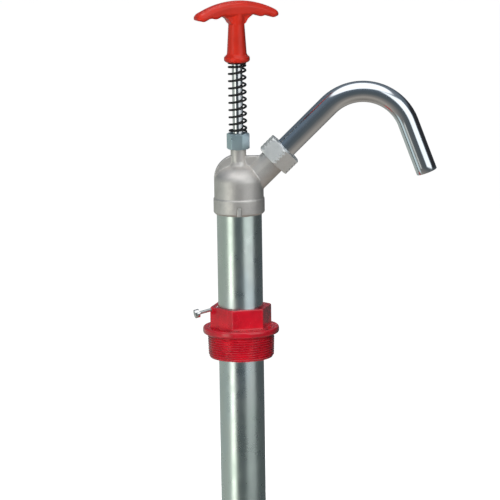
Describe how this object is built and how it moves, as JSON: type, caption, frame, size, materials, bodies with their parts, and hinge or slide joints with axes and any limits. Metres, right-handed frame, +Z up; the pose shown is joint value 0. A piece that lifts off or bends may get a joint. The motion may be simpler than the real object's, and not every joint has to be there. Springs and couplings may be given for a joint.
{
  "type": "drum barrel pump",
  "caption": "Hand lift pump for steel drums: T-handle plunger with cushion spring, cast head with swivelling gooseneck spout, clamped barrel, threaded bung adapter and foot valve.",
  "frame": {"origin": "on the pump's axis, on the underside of the bung adapter's flange", "axes": "+Z up along the barrel towards the handle, +X towards the spout, +Y away from the set screw's side"},
  "size_m": [0.2206, 0.0688, 1.1413],
  "materials": {
    "red_plastic": "moulded, satin",
    "red_paint": "gloss enamel",
    "die_cast": "matte die-cast, bead blasted",
    "zinc_plate": "bright zinc plate",
    "chrome_plate": "polished chrome",
    "bright_steel": "ground and polished",
    "spring_steel": "black oiled",
    "brass": "machined",
    "nitrile_rubber": "matte",
    "white_polymer": "machined"
  },
  "bodies": {
    "adapter": {"bung_adapter": "red_paint"},
    "seal_ring": {"adapter_seal_ring": "nitrile_rubber"},
    "pump": {"barrel_tube": "zinc_plate", "pump_head": "die_cast", "head_gasket": "nitrile_rubber", "locating_key": "bright_steel", "packing_ring_1": "white_polymer", "packing_ring_2": "white_polymer", "spout_seal": "nitrile_rubber", "cushion_spring": "spring_steel", "foot_valve_body": "die_cast", "ball_cage": "white_polymer", "foot_rivet_1": "bright_steel", "foot_rivet_2": "bright_steel", "foot_rivet_3": "bright_steel", "suction_strainer": "white_polymer"},
    "pad": {"clamp_pad": "white_polymer"},
    "clamp_screw": {"set_screw": "bright_steel"},
    "follower": {"gland_follower": "brass"},
    "gland": {"gland_nut": "zinc_plate"},
    "ferrule": {"spout_ferrule": "brass"},
    "union": {"union_nut": "die_cast"},
    "spout": {"spout_tube": "chrome_plate"},
    "spring_cap": {"spring_washer": "spring_steel"},
    "cup": {"piston_cup": "nitrile_rubber"},
    "plunger": {"piston_rod": "bright_steel", "t_handle": "red_plastic", "handle_insert": "brass", "valve_stop": "brass", "piston_body": "brass", "piston_plate": "brass", "piston_lock_washer": "bright_steel", "piston_nut": "zinc_plate"},
    "valve_disc": {"piston_valve": "nitrile_rubber"},
    "ball": {"foot_ball": "bright_steel"}
  },
  "joints": [
    {"name": "barrel_turn", "type": "hinge", "parent": "adapter", "child": "seal_ring", "pos_m": [0, 0, 0.0081], "axis": [0, 0, 1], "continuous": true},
    {"name": "barrel_depth", "type": "slide", "parent": "seal_ring", "child": "pump", "axis": [0, 0, 1], "range_m": [-0.078, 0.4]},
    {"name": "clamp_advance", "type": "slide", "parent": "adapter", "child": "pad", "axis": [-0.9491, -0.2437, -0.1994], "range_m": [0, 0.004]},
    {"name": "screw_turn", "type": "hinge", "parent": "pad", "child": "clamp_screw", "pos_m": [-0.02768, -0.00711, 0.022], "axis": [-0.9491, -0.2437, -0.1994], "range_deg": [0, 2058]},
    {"name": "gland_take_up", "type": "slide", "parent": "pump", "child": "follower", "axis": [0, 0, 1], "range_m": [-0.0006, 0]},
    {"name": "gland_turn", "type": "hinge", "parent": "follower", "child": "gland", "pos_m": [0, 0, 0.1719], "axis": [0, 0, 1], "range_deg": [-216.5, 0]},
    {"name": "union_release", "type": "slide", "parent": "pump", "child": "ferrule", "axis": [0.7157, 0, 0.6984], "range_m": [0, 0.0012]},
    {"name": "union_turn", "type": "hinge", "parent": "ferrule", "child": "union", "pos_m": [0.03578, 0, 0.16092], "axis": [0.7157, 0, 0.6984], "range_deg": [0, 288.5]},
    {"name": "spout_swivel", "type": "hinge", "parent": "ferrule", "child": "spout", "pos_m": [0.03578, 0, 0.16092], "axis": [0.7157, 0, 0.6984], "range_deg": [-120, 120]},
    {"name": "spring_squeeze", "type": "slide", "parent": "pump", "child": "spring_cap", "axis": [0, 0, 1], "range_m": [-0.028, 0], "stiffness_N_per_m": 5200, "springref_m": 0.003, "deforming": ["cushion_spring"]},
    {"name": "plunger_lift", "type": "slide", "parent": "spring_cap", "child": "cup", "axis": [0, 0, 1], "range_m": [0, 0.3]},
    {"name": "handle_turn", "type": "hinge", "parent": "cup", "child": "plunger", "pos_m": [0, 0, 0.25], "axis": [0, 0, 1], "continuous": true},
    {"name": "piston_valve_lift", "type": "slide", "parent": "plunger", "child": "valve_disc", "axis": [0, 0, 1], "range_m": [0, 0.0032]},
    {"name": "foot_ball_lift", "type": "slide", "parent": "pump", "child": "ball", "axis": [0, 0, 1], "range_m": [0, 0.008]}
  ],
  "couplings": [
    {"joint": "screw_turn", "follows": "clamp_advance", "rad_per_m": 8975.9},
    {"joint": "gland_turn", "follows": "gland_take_up", "rad_per_m": 6283.2},
    {"joint": "union_turn", "follows": "union_release", "rad_per_m": 4188.8}
  ]
}
